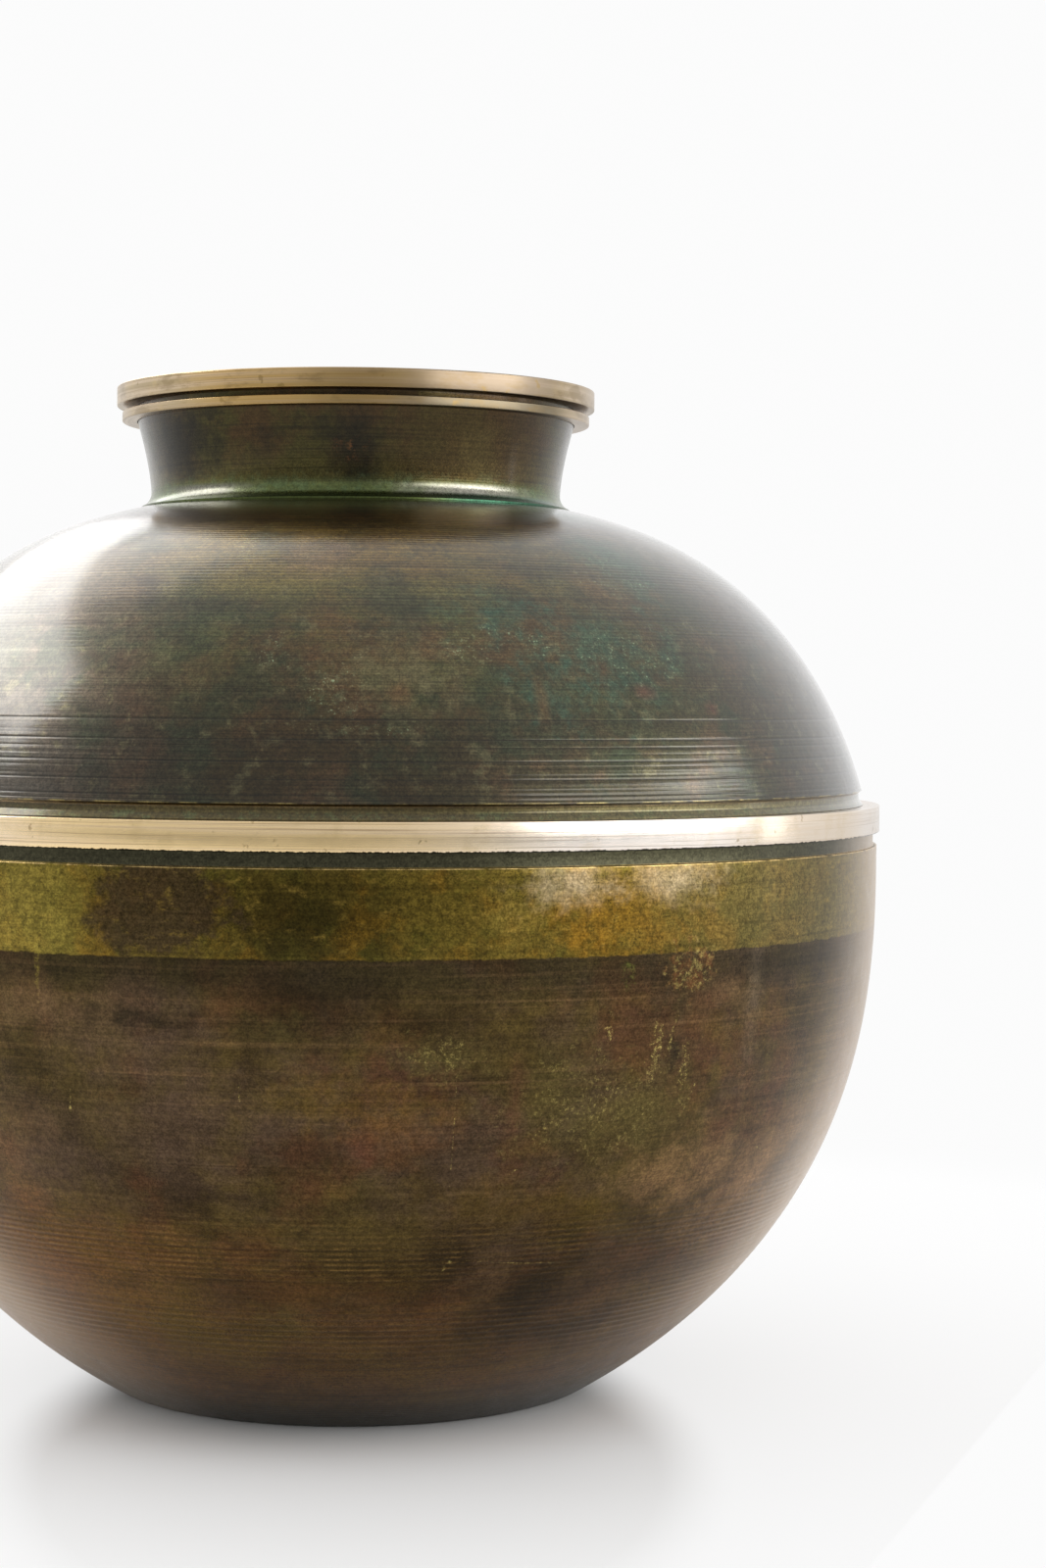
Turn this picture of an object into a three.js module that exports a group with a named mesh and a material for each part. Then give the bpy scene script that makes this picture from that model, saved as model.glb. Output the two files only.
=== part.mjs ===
// A round brass vase with a short flared neck, built as the real one is: two spun
// bowls joined behind a polished band, a spun neck soldered on the shoulder, and two
// turned rings round the lip. Every piece is a revolve about the vase's upright axis.
// Units are millimetres, +Z is up, and the origin is the middle of the foot.
import * as THREE from 'three';

// Round work
const segments = 56;

// Sheet and soldered fits
const wall = 1.2;
const solderGap = 0.15;

// Foot, a flat ring round a slightly raised middle
const footRadius = 58.5;
const footLandWidth = 8;
const footRecess = 1.5;

// Lower bowl: a superellipse from the foot to its widest level, then upright
const bellyRadius = 125.3;
const bowlHeight = 132.15;
const bellyBelowBand = 5.6;
const bellyUprightPower = 2.55;
const bellyRadialPower = 1.54;

// Band round the middle, on the spigots of both bowls, with a cove above and below it
const bandHeight = 6.35;
const bandProud = 0.6;
const bandSeatDepth = 4.4;
const bandChamfer = 0.15;
const lowerCoveHeight = 3.05;
const lowerCoveDepth = 0.9;
const upperCoveHeight = 3.4;
const upperCoveDepth = 0.75;

// Upper dome: turned reeds above the band, then a superellipse to the neck
const domeRise = 101.3;
const domeBelowBand = 28.45;
const domeRadialPower = 3.05;
const reedCount = 10;
const reedPitch = 1.35;
const reedDepth = 0.15;

// Neck: a cove at its foot, then a flare to the rim that carries the lip rings
const throatRadius = 49.05;
const neckHeight = 20.2;
const neckRimFlare = 3.25;
const neckFlarePower = 1.5;
const neckCoveRadius = 3.6;
const neckCoveSweep = Math.PI / 3;
const neckFootLand = 0.4;
const neckFlangeHeight = 4;

// Lip rings
const lowerRingWidth = 3.65;
const lowerRingHeight = 2.15;
const ringGroove = 1.45;
const upperRingWidth = 4.9;
const upperRingHeight = 4.4;
const upperRingCap = 1.1;
const ringChamfer = 0.2;

// Radii and levels that follow from the sizes
const spigotRadius = bellyRadius - bandSeatDepth;
const bandRadius = bellyRadius + bandProud;
const bandBottom = bowlHeight;
const bandTop = bandBottom + bandHeight;
const splitLevel = (bandBottom + bandTop) / 2;
const bellyLevel = bandBottom - bellyBelowBand;
const lowerCoveLevel = bandBottom - lowerCoveHeight;
const upperCoveLevel = bandTop + upperCoveHeight;
const domeLevel = bandTop - domeBelowBand;
const domeRadius = domeWidest(spigotRadius + upperCoveDepth);
const flangeRadius = throatRadius - wall - solderGap;
const neckFootLevel = domeHeight(throatRadius);
const neckRimRadius = throatRadius + neckRimFlare;
const lowerRingBottom = neckFootLevel + neckHeight;
const lowerRingTop = lowerRingBottom + lowerRingHeight;
const upperRingBottom = lowerRingTop + ringGroove;
const upperRingTop = upperRingBottom + upperRingHeight;
const neckTop = upperRingTop - upperRingCap - solderGap;

function point(radius, height) {
  return new THREE.Vector2(radius, height);
}

// How much the dome has narrowed at a height, as a share of its widest radius.
function domeShare(height) {
  return (1 - ((height - domeLevel) / domeRise) ** 2) ** (1 / domeRadialPower);
}

// The dome's widest radius, from the radius of its lower edge above the cove.
function domeWidest(edgeRadius) {
  return edgeRadius / domeShare(upperCoveLevel);
}

// Height of the dome's outside at a radius.
function domeHeight(radius) {
  return domeLevel + domeRise * Math.sqrt(1 - (radius / domeRadius) ** domeRadialPower);
}

// The dome's outside from a height in to the flange at the neck.
function domeCurve(fromHeight, steps) {
  const start = Math.asin((fromHeight - domeLevel) / domeRise);
  const end = Math.acos((flangeRadius / domeRadius) ** (domeRadialPower / 2));
  const curve = [];
  for (let i = 0; i <= steps; i++) {
    const turn = start + ((end - start) * i) / steps;
    const radius = domeRadius * Math.cos(turn) ** (2 / domeRadialPower);
    curve.push(point(radius, domeLevel + domeRise * Math.sin(turn)));
  }
  return curve;
}

// Turned reeds up from the dome's lower edge: a crest on the dome, then a groove.
function reeds() {
  const line = [];
  for (let i = 0; i < reedCount; i++) {
    const crest = upperCoveLevel + reedPitch * i;
    const groove = crest + reedPitch / 2;
    line.push(point(domeRadius * domeShare(crest), crest));
    line.push(point(domeRadius * domeShare(groove) - reedDepth, groove));
  }
  return line;
}

// The bowl's outside from the foot's edge up to its widest level. The curve's drop is
// the one that makes it pass through the foot.
function bellyCurve(steps) {
  const footShare = 1 - (footRadius / bellyRadius) ** bellyRadialPower;
  const drop = bellyLevel / footShare ** (1 / bellyUprightPower);
  const start = Math.asin(Math.sqrt(footShare));
  const curve = [];
  for (let i = 0; i <= steps; i++) {
    const turn = start * (1 - i / steps);
    const radius = bellyRadius * Math.cos(turn) ** (2 / bellyRadialPower);
    const fall = drop * Math.sin(turn) ** (2 / bellyUprightPower);
    curve.push(point(radius, bellyLevel - fall));
  }
  return curve;
}

// The neck's foot: an arc that hollows in from the soldered edge to the throat.
function neckCove(steps) {
  const top = neckFootTop();
  const curve = [];
  for (let i = 0; i <= steps; i++) {
    const turn = neckCoveSweep * (1 - i / steps);
    const reach = neckCoveRadius * (1 - Math.cos(turn));
    curve.push(point(throatRadius + reach, top - neckCoveRadius * Math.sin(turn)));
  }
  return curve;
}

// The soldered edge's radius, and the level where the cove ends in the throat.
function neckFootEdge() {
  return throatRadius + neckCoveRadius * (1 - Math.cos(neckCoveSweep));
}

function neckFootTop() {
  const seat = domeHeight(neckFootEdge()) + solderGap;
  return seat + neckFootLand + neckCoveRadius * Math.sin(neckCoveSweep);
}

// The neck's outside above the cove, flaring to the rim under the lip rings.
function neckFlare(steps) {
  const start = neckFootTop();
  const rise = lowerRingBottom - start;
  const curve = [];
  for (let i = 1; i <= steps; i++) {
    const share = i / steps;
    curve.push(point(throatRadius + neckRimFlare * share ** neckFlarePower, start + rise * share));
  }
  return curve;
}

// A copy of an open profile moved sideways to its left by the wall, with mitred
// corners, so that sheet metal keeps its thickness.
function insideOf(profile) {
  const normals = [];
  for (let i = 1; i < profile.length; i++) {
    const along = profile[i].clone().sub(profile[i - 1]).normalize();
    normals.push(point(-along.y, along.x));
  }
  return profile.map((corner, i) => {
    const before = normals[Math.max(i - 1, 0)];
    const after = normals[Math.min(i, normals.length - 1)];
    const mitre = before.clone().add(after).normalize();
    return corner.clone().addScaledVector(mitre, wall / mitre.dot(after));
  });
}

function closed(profile) {
  return [...profile, profile[0].clone()];
}

// A solid of revolution about +Z, named and coloured.
function turned(name, profile, colour, roughness) {
  const geometry = new THREE.LatheGeometry(profile, segments);
  geometry.rotateX(Math.PI / 2);
  const material = new THREE.MeshStandardMaterial({ color: colour, roughness, metalness: 1 });
  const mesh = new THREE.Mesh(geometry, material);
  mesh.name = name;
  return mesh;
}

const patinaBrown = 0x4a3d26;
const patinaGreen = 0x47493a;
const polishedBrass = 0xd9bf93;

// The bowl is one spun sheet with its base. Its edge steps in twice: to the cove, and
// to the ledge and spigot that the band sits on.
function lowerShell() {
  const landInner = footRadius - footLandWidth;
  const coveRadius = bellyRadius - lowerCoveDepth;
  const spigotTop = splitLevel - solderGap / 2;
  const foot = [point(0, footRecess), point(landInner - footRecess, footRecess), point(landInner, 0)];
  const outside = [
    ...foot,
    ...bellyCurve(14),
    point(bellyRadius, lowerCoveLevel),
    point(coveRadius, lowerCoveLevel),
    point(coveRadius, bandBottom),
    point(spigotRadius, bandBottom),
    point(spigotRadius, spigotTop),
  ];
  const sheet = [
    ...foot,
    ...bellyCurve(8),
    point(coveRadius, lowerCoveLevel),
    point(spigotRadius, bandBottom),
    point(spigotRadius, spigotTop),
  ];
  const profile = [...outside, ...insideOf(sheet).reverse()];
  return turned('lower_shell', profile, patinaBrown, 0.45);
}

// The dome's spigot stands on the bowl's behind the band, and its flange stands up
// inside the neck.
function upperShell() {
  const reedTop = upperCoveLevel + reedPitch * reedCount;
  const spigotBottom = splitLevel + solderGap / 2;
  const flangeTop = domeHeight(flangeRadius) + neckFlangeHeight;
  const outside = [
    point(spigotRadius, spigotBottom),
    point(spigotRadius, upperCoveLevel),
    ...reeds(),
    ...domeCurve(reedTop, 13),
    point(flangeRadius, flangeTop),
  ];
  const sheet = [
    point(spigotRadius, spigotBottom),
    point(spigotRadius, bandTop),
    ...domeCurve(reedTop, 8),
    point(flangeRadius, flangeTop),
  ];
  const profile = closed([...outside, ...insideOf(sheet).reverse()]);
  return turned('upper_shell', profile, patinaGreen, 0.4);
}

function equatorBand() {
  const bore = spigotRadius + solderGap;
  const bottom = bandBottom + solderGap;
  const profile = [
    point(bore, bottom),
    point(bandRadius - bandChamfer, bottom),
    point(bandRadius, bottom + bandChamfer),
    point(bandRadius, bandTop - bandChamfer),
    point(bandRadius - bandChamfer, bandTop),
    point(bore, bandTop),
  ];
  return turned('equator_band', closed(profile), polishedBrass, 0.3);
}

function neckCollar() {
  const footEdge = neckFootEdge();
  const seat = (radius) => domeHeight(radius) + solderGap;
  const tube = [point(throatRadius, neckFootTop()), ...neckFlare(6), point(neckRimRadius, neckTop)];
  const outside = [
    point(throatRadius - wall, seat(throatRadius - wall)),
    point(footEdge, seat(footEdge)),
    ...neckCove(4),
    ...tube.slice(1),
  ];
  const profile = closed([...outside, ...insideOf(tube).reverse()]);
  return turned('neck_collar', profile, patinaGreen, 0.4);
}

function lowerLipRing() {
  const bore = neckRimRadius + solderGap;
  const radius = neckRimRadius + lowerRingWidth;
  const profile = [
    point(bore, lowerRingBottom),
    point(radius - ringChamfer, lowerRingBottom),
    point(radius, lowerRingBottom + ringChamfer),
    point(radius, lowerRingTop - ringChamfer),
    point(radius - ringChamfer, lowerRingTop),
    point(bore, lowerRingTop),
  ];
  return turned('lower_lip_ring', closed(profile), polishedBrass, 0.3);
}

// The upper ring caps the cut edge of the neck, so its section is an L.
function upperLipRing() {
  const bore = neckRimRadius + solderGap;
  const radius = neckRimRadius + upperRingWidth;
  const mouthRadius = neckRimRadius - wall;
  const capBottom = upperRingTop - upperRingCap;
  const profile = [
    point(bore, upperRingBottom),
    point(radius - ringChamfer, upperRingBottom),
    point(radius, upperRingBottom + ringChamfer),
    point(radius, upperRingTop - ringChamfer),
    point(radius - ringChamfer, upperRingTop),
    point(mouthRadius + ringChamfer, upperRingTop),
    point(mouthRadius, upperRingTop - ringChamfer),
    point(mouthRadius, capBottom),
    point(bore, capBottom),
  ];
  return turned('upper_lip_ring', closed(profile), polishedBrass, 0.3);
}

const vase = new THREE.Group();
vase.add(
  lowerShell(),
  upperShell(),
  equatorBand(),
  neckCollar(),
  lowerLipRing(),
  upperLipRing(),
);

export default vase;
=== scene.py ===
"""A round spun brass vase: two patinated bowls, a polished band, a flared neck and a ringed lip."""
import math

import bpy
from mathutils import Matrix, Vector


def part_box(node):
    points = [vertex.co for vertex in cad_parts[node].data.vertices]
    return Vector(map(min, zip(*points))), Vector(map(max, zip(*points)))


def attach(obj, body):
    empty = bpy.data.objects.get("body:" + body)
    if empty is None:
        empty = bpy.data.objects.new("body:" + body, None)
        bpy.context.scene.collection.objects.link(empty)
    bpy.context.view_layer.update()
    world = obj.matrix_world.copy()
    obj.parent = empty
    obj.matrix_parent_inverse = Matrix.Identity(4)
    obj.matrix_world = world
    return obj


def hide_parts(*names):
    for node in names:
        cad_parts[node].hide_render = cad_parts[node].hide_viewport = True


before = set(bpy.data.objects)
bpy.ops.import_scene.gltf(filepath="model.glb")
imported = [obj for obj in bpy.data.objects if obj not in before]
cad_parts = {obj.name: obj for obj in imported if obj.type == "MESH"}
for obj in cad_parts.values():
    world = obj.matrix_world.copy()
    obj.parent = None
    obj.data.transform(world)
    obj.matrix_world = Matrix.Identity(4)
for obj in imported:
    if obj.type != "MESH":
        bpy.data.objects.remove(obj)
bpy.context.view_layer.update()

# All lengths are in metres
MM = 0.001

# Camera
CAMERA_DISTANCE = 729.6 * MM
CAMERA_HEIGHT = 164.6 * MM
CAMERA_LENS = 69.2
CAMERA_SENSOR = 36.0
CAMERA_YAW = math.radians(3.187)
CAMERA_PITCH = math.radians(1.736)
CAMERA_ROLL = math.radians(0.344)

# How finely the round work is divided
SEGMENTS = 256
FINE_STEP = 0.2 * MM
REED_STEP = 0.09 * MM
CORNER_STEPS = 5
CURVE_STEPS = 300
SHEET_STEPS = 60
NECK_FILLET_STEPS = 32
NECK_TUBE_STEPS = 80
ON_AXIS = 0.000001 * MM
SHARP_ANGLE = math.radians(40)


def box_of(node):
    """The lowest and the highest level of a round solid, and its radius."""
    low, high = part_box(node)
    return low[2], high[2], high[0]


# Levels and radii of the solids
BAND_BOTTOM, BAND_TOP, BAND_RADIUS = box_of("equator_band")
SPLIT_BELOW, BELLY_RADIUS = box_of("lower_shell")[1:]
NECK_TOP, NECK_RIM_RADIUS = box_of("neck_collar")[1:]
SPLIT_ABOVE = box_of("upper_shell")[0]
DOME_EDGE_RADIUS = box_of("upper_shell")[2]
LIP_BOTTOM = box_of("lower_lip_ring")[0]
LIP_SEAM, LIP_TOP, LIP_RADIUS = box_of("upper_lip_ring")

# Sheet and soldered fits
WALL = 1.2 * MM
GAP = 0.15 * MM

# Band, and the two spigots behind it
BAND_EDGE = 0.22 * MM
SPIGOT_RADIUS = BELLY_RADIUS - 4.4 * MM
LEDGE_LEVEL = BAND_BOTTOM - GAP

# Lower bowl
BELLY_LEVEL = LEDGE_LEVEL - 5.6 * MM
BELLY_UPRIGHT_POWER = 2.55
BELLY_RADIAL_POWER = 1.54
FOOT_RADIUS = 58.5 * MM
FOOT_LAND = 8 * MM
FOOT_RECESS = 1.5 * MM
LOWER_COVE_HEIGHT = 3.05 * MM
LOWER_COVE_DEPTH = 0.9 * MM
LOWER_COVE_LEVEL = LEDGE_LEVEL - LOWER_COVE_HEIGHT
EDGE_ROUND = 0.18 * MM
FOOT_BEVEL = 0.6 * MM

# Upper dome
UPPER_COVE_LEVEL = BAND_TOP + 3.4 * MM
DOME_RISE = 101.3 * MM
DOME_LEVEL = BAND_TOP - 28.45 * MM
DOME_RADIAL_POWER = 3.05
REED_START = 0.7 * MM
REED_GAPS = (1.0, 1.05, 2.1, 0.85, 1.75, 1.1, 1.35, 1.45, 1.6, 1.7, 2.4)
REED_WIDTH = 0.24 * MM
REED_DEPTH = 0.055 * MM

# Upper cove: a low bead of solder on the band, a rounded corner above it, and a lip under the dome's edge
BEAD_SEAT = 0.05 * MM
BEAD_WIDTH = 1.1 * MM
BEAD_TOP_WIDTH = 0.9 * MM
BEAD_HEIGHT = 0.35 * MM
BEAD_ROUND = 0.2 * MM
COVE_CORNER = 1.5 * MM
COVE_ROUND = 0.9 * MM
COVE_LIP = 0.5 * MM
COVE_LIP_ROUND = 0.3 * MM

# Neck
THROAT_RADIUS = 49.05 * MM
NECK_FLARE_POWER = 1.5
NECK_COVE_RADIUS = 3.6 * MM
NECK_COVE_SWEEP = math.pi / 3
NECK_FILLET_SWEEP = math.radians(69)
NECK_FOOT_LAND = 0.4 * MM
NECK_JOINT = 0.02 * MM
NECK_RIPPLE = 0.004 * MM
FLANGE_RADIUS = THROAT_RADIUS - WALL - GAP
FLANGE_HEIGHT = 4 * MM

# Lip rings
RING_EDGE = 0.25 * MM
UPPER_RING_CAP = 1.1 * MM
MOUTH_RADIUS = NECK_RIM_RADIUS - WALL

# Turning marks: how high they stand, how far apart they are, and the heights where they grow or fade
SHOULDER_RIPPLE = 0.014 * MM
SHOULDER_START = 172 * MM
SHOULDER_FULL = 184 * MM
DOME_RIPPLE = 0.005 * MM
DOME_SWELL = 2.9 * MM
RIPPLE_PITCH = 1.02 * MM
BOWL_RIDGE = 0.042 * MM
BOWL_RIDGE_LOW = 14 * MM
BOWL_RIDGE_FULL = 40 * MM
BOWL_RIDGE_TOP = 68 * MM
BOWL_RIDGE_FADE = 26 * MM
BOWL_SWELL = 5.3 * MM
FOOT_RIDGE_PITCH = 1.05 * MM
BOWL_RIDGE_PITCH = 1.55 * MM
PITCH_CHANGE_WAY = 60 * MM
BOWL_RIPPLE = 0.003 * MM

# Slow waves that keep the marks from being evenly spaced: how strong and how long each is
BOWL_DRIFT = ((1.3, 9.1 * MM), (0.8, 3.7 * MM))
DOME_DRIFT = ((1.5, 11 * MM), (0.9, 4.3 * MM))


def dome_share(height):
    return (1 - ((height - DOME_LEVEL) / DOME_RISE) ** 2) ** (1 / DOME_RADIAL_POWER)


DOME_RADIUS = DOME_EDGE_RADIUS / dome_share(UPPER_COVE_LEVEL)


def dome_height(radius):
    return DOME_LEVEL + DOME_RISE * math.sqrt(1 - (radius / DOME_RADIUS) ** DOME_RADIAL_POWER)


def dome_curve(from_height, to_radius, steps):
    """The dome's outside from a height up and in to a radius."""
    start = math.asin((from_height - DOME_LEVEL) / DOME_RISE)
    end = math.acos((to_radius / DOME_RADIUS) ** (DOME_RADIAL_POWER / 2))
    curve = []
    for i in range(steps + 1):
        turn = start + (end - start) * i / steps
        radius = DOME_RADIUS * math.cos(turn) ** (2 / DOME_RADIAL_POWER)
        curve.append((radius, DOME_LEVEL + DOME_RISE * math.sin(turn)))
    return curve


FOOT_SHARE = 1 - (FOOT_RADIUS / BELLY_RADIUS) ** BELLY_RADIAL_POWER
BELLY_DROP = BELLY_LEVEL / FOOT_SHARE ** (1 / BELLY_UPRIGHT_POWER)


def belly_radius(height):
    fall = max(BELLY_LEVEL - height, 0) / BELLY_DROP
    return BELLY_RADIUS * (1 - fall ** BELLY_UPRIGHT_POWER) ** (1 / BELLY_RADIAL_POWER)


def belly_curve(steps):
    """The bowl's outside from the foot's edge up to its widest level."""
    start = math.asin(math.sqrt(FOOT_SHARE))
    curve = []
    for i in range(steps + 1):
        turn = start * (1 - i / steps)
        radius = BELLY_RADIUS * math.cos(turn) ** (2 / BELLY_RADIAL_POWER)
        fall = BELLY_DROP * math.sin(turn) ** (2 / BELLY_UPRIGHT_POWER)
        curve.append((radius, BELLY_LEVEL - fall))
    return curve


def walked(curve, step):
    """Points at equal steps along a curve, each with its outward normal and the way gone."""
    points = [Vector(point) for point in curve]
    lengths = [0.0]
    for before, after in zip(points[:-1], points[1:]):
        lengths.append(lengths[-1] + (after - before).length)
    count = max(int(lengths[-1] / step), 2)
    found = []
    leg = 0
    for i in range(count + 1):
        way = lengths[-1] * i / count
        while leg < len(points) - 2 and lengths[leg + 1] < way:
            leg += 1
        along = points[leg + 1] - points[leg]
        share = (way - lengths[leg]) / along.length
        normal = Vector((along.y, -along.x)).normalized()
        found.append((points[leg] + along * share, normal, way))
    return found


def relieved(curve, step, relief):
    """The curve's points moved out along their normals by relief(way, height), which each keeps."""
    moved = []
    for place, normal, way in walked(curve, step):
        rise = relief(way, place.y)
        out = place + normal * rise
        moved.append((out.x, out.y, rise))
    return moved


def filleted(corners):
    """A profile with rounded corners, from (radius, height, fillet) triples."""
    line = []
    for i, (radius, height, fillet) in enumerate(corners):
        corner = Vector((radius, height))
        if fillet == 0:
            line.append((radius, height))
            continue
        before = (Vector(corners[i - 1][:2]) - corner).normalized()
        after = (Vector(corners[(i + 1) % len(corners)][:2]) - corner).normalized()
        half = before.angle(after) / 2
        middle = corner + (before + after).normalized() * fillet / math.sin(half)
        start = corner + before * fillet / math.tan(half) - middle
        end = corner + after * fillet / math.tan(half) - middle
        sweep = math.atan2(start.x * end.y - start.y * end.x, start.dot(end))
        for k in range(CORNER_STEPS + 1):
            turn = Matrix.Rotation(sweep * k / CORNER_STEPS, 2)
            point = middle + turn @ start
            line.append((point.x, point.y))
    return line


def smooth(value, low, high):
    share = min(max((value - low) / (high - low), 0), 1)
    return share * share * (3 - 2 * share)


def add_object(name, data):
    made = bpy.data.objects.new(name, data)
    bpy.context.scene.collection.objects.link(made)
    return made


def lathe(name, profile, closed):
    """A surface of revolution about +Z. The way along its profile and the relief are kept as attributes."""
    verts = []
    faces = []
    rings = []
    ways = []
    rises = []
    way = 0.0
    last = profile[0]
    for point in profile:
        radius, height = point[:2]
        way += math.hypot(radius - last[0], height - last[1])
        last = point
        start = len(verts)
        count = 1 if radius < ON_AXIS else SEGMENTS
        for k in range(count):
            turn = 2 * math.pi * k / SEGMENTS
            verts.append((radius * math.cos(turn), radius * math.sin(turn), height))
            ways.append(way)
            rises.append(point[2] if len(point) > 2 else 0)
        rings.append(list(range(start, start + count)))
    pairs = list(zip(rings[:-1], rings[1:]))
    if closed:
        pairs.append((rings[-1], rings[0]))
    for low, high in pairs:
        for k in range(SEGMENTS):
            after = (k + 1) % SEGMENTS
            if len(low) == 1:
                faces.append((low[0], high[after], high[k]))
            elif len(high) == 1:
                faces.append((low[k], low[after], high[0]))
            else:
                faces.append((low[k], low[after], high[after], high[k]))
    mesh = bpy.data.meshes.new(name)
    mesh.from_pydata(verts, [], faces)
    mesh.validate()
    mesh.attributes.new("way", "FLOAT", "POINT").data.foreach_set("value", ways)
    mesh.attributes.new("rise", "FLOAT", "POINT").data.foreach_set("value", rises)
    mesh.polygons.foreach_set("use_smooth", [True] * len(mesh.polygons))
    mesh.set_sharp_from_angle(angle=SHARP_ANGLE)
    return add_object(name, mesh)


def inside_of(profile):
    """The profile moved one wall inwards."""
    inside = []
    for i, (radius, height) in enumerate(profile):
        before = profile[max(i - 1, 0)]
        after = profile[min(i + 1, len(profile) - 1)]
        along = Vector((after[0] - before[0], after[1] - before[1])).normalized()
        inside.append((max(radius - along.y * WALL, 0), height + along.x * WALL))
    return inside


# The pieces

def drifted(way, drift):
    return sum(strength * math.sin(way / length) for strength, length in drift)


def bowl_relief(way, height):
    """Coarse ridges low on the side, weaker at the foot and gone higher up, and a faint ripple all over."""
    ridged = 1 - smooth(height, BOWL_RIDGE_TOP - BOWL_RIDGE_FADE, BOWL_RIDGE_TOP)
    ridged *= 0.3 + 0.7 * smooth(height, BOWL_RIDGE_LOW, BOWL_RIDGE_FULL)
    swell = 0.6 + 0.4 * math.sin(way / BOWL_SWELL)
    pitch = FOOT_RIDGE_PITCH + (BOWL_RIDGE_PITCH - FOOT_RIDGE_PITCH) * smooth(way, 0, PITCH_CHANGE_WAY)
    wander = drifted(way, BOWL_DRIFT)
    wave = math.sin(2 * math.pi * way / pitch + wander)
    ridge = BOWL_RIDGE * swell * (0.35 + 0.65 * ridged) * ridged * wave
    ripple = BOWL_RIPPLE * math.sin(2 * math.pi * way / RIPPLE_PITCH + 2 * wander)
    return ridge + ripple - BOWL_RIDGE - BOWL_RIPPLE


def lower_bowl():
    land_inner = FOOT_RADIUS - FOOT_LAND
    cove_radius = BELLY_RADIUS - LOWER_COVE_DEPTH
    edge_radius = belly_radius(BELLY_LEVEL) - BOWL_RIPPLE
    base = [(0, FOOT_RECESS), (land_inner - FOOT_RECESS, FOOT_RECESS), (land_inner, 0)]
    foot = base + [(FOOT_RADIUS - FOOT_BEVEL, 0)]
    side = relieved(belly_curve(CURVE_STEPS), FINE_STEP, bowl_relief)[2:]
    edge = filleted([
        (edge_radius, BELLY_LEVEL, 0),
        (edge_radius, LOWER_COVE_LEVEL, EDGE_ROUND),
        (cove_radius, LOWER_COVE_LEVEL, EDGE_ROUND),
        (cove_radius, LEDGE_LEVEL, 0),
        (SPIGOT_RADIUS, LEDGE_LEVEL, 0),
        (SPIGOT_RADIUS, SPLIT_BELOW, 0),
    ])[1:]
    sheet = base + belly_curve(SHEET_STEPS)
    sheet += [(cove_radius, LOWER_COVE_LEVEL), (SPIGOT_RADIUS, LEDGE_LEVEL), (SPIGOT_RADIUS, SPLIT_BELOW)]
    return lathe("lower_bowl", foot + side + edge + inside_of(sheet)[::-1], False)


def reed_levels():
    """Heights of the turned grooves above the dome's edge, and how deep each is."""
    level = UPPER_COVE_LEVEL + REED_START
    levels = []
    for i, gap in enumerate((0,) + REED_GAPS):
        level += gap * MM
        levels.append((level, REED_DEPTH * (0.6 + 0.4 * math.sin(2.3 * i + 0.4))))
    return levels


REEDS = reed_levels()


def dome_relief(way, height):
    """Ripples from the spinning tool, strongest on the shoulder, and the grooves above the edge."""
    shoulder = smooth(height, SHOULDER_START, SHOULDER_FULL)
    crest = DOME_RIPPLE + (SHOULDER_RIPPLE - DOME_RIPPLE) * shoulder
    wave = math.sin(2 * math.pi * way / RIPPLE_PITCH + drifted(way, DOME_DRIFT))
    swell = 0.5 + 0.5 * math.sin(way / DOME_SWELL)
    relief = crest * (wave * (0.4 + 0.6 * swell) - 1)
    for level, depth in REEDS:
        relief -= depth * math.exp(-((height - level) / REED_WIDTH) ** 2)
    return relief


def upper_dome():
    reed_top = REEDS[-1][0] + 2 * REED_WIDTH
    flange_top = dome_height(FLANGE_RADIUS) + FLANGE_HEIGHT
    cove = filleted([
        (SPIGOT_RADIUS, SPLIT_ABOVE, 0),
        (SPIGOT_RADIUS, BAND_TOP + BEAD_SEAT, 0),
        (SPIGOT_RADIUS + BEAD_WIDTH, BAND_TOP + BEAD_SEAT, BEAD_SEAT),
        (SPIGOT_RADIUS + BEAD_TOP_WIDTH, BAND_TOP + BEAD_HEIGHT, BEAD_ROUND),
        (SPIGOT_RADIUS, BAND_TOP + COVE_CORNER, COVE_ROUND),
        (SPIGOT_RADIUS, UPPER_COVE_LEVEL - COVE_LIP, COVE_LIP_ROUND),
        (DOME_EDGE_RADIUS, UPPER_COVE_LEVEL, 0),
    ])[:-1]
    reeded = dome_curve(UPPER_COVE_LEVEL, DOME_RADIUS * dome_share(reed_top), SHEET_STEPS)
    side = relieved(reeded, REED_STEP, dome_relief)
    side += relieved(dome_curve(reed_top, FLANGE_RADIUS, CURVE_STEPS), FINE_STEP, dome_relief)[1:]
    sheet = [(SPIGOT_RADIUS, SPLIT_ABOVE), (SPIGOT_RADIUS, BAND_TOP)]
    sheet += dome_curve(reed_top, FLANGE_RADIUS, SHEET_STEPS) + [(FLANGE_RADIUS, flange_top)]
    outside = cove + side + [(FLANGE_RADIUS, flange_top)]
    return lathe("upper_dome", outside + inside_of(sheet)[::-1], True)


def ring(name, node, bore, edge):
    """A turned ring of rectangular section with worn edges."""
    low, high, radius = box_of(node)
    profile = filleted([
        (bore, low, 0),
        (radius, low, edge),
        (radius, high, edge),
        (bore, high, 0),
    ])
    return lathe(name, profile, True)


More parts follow.
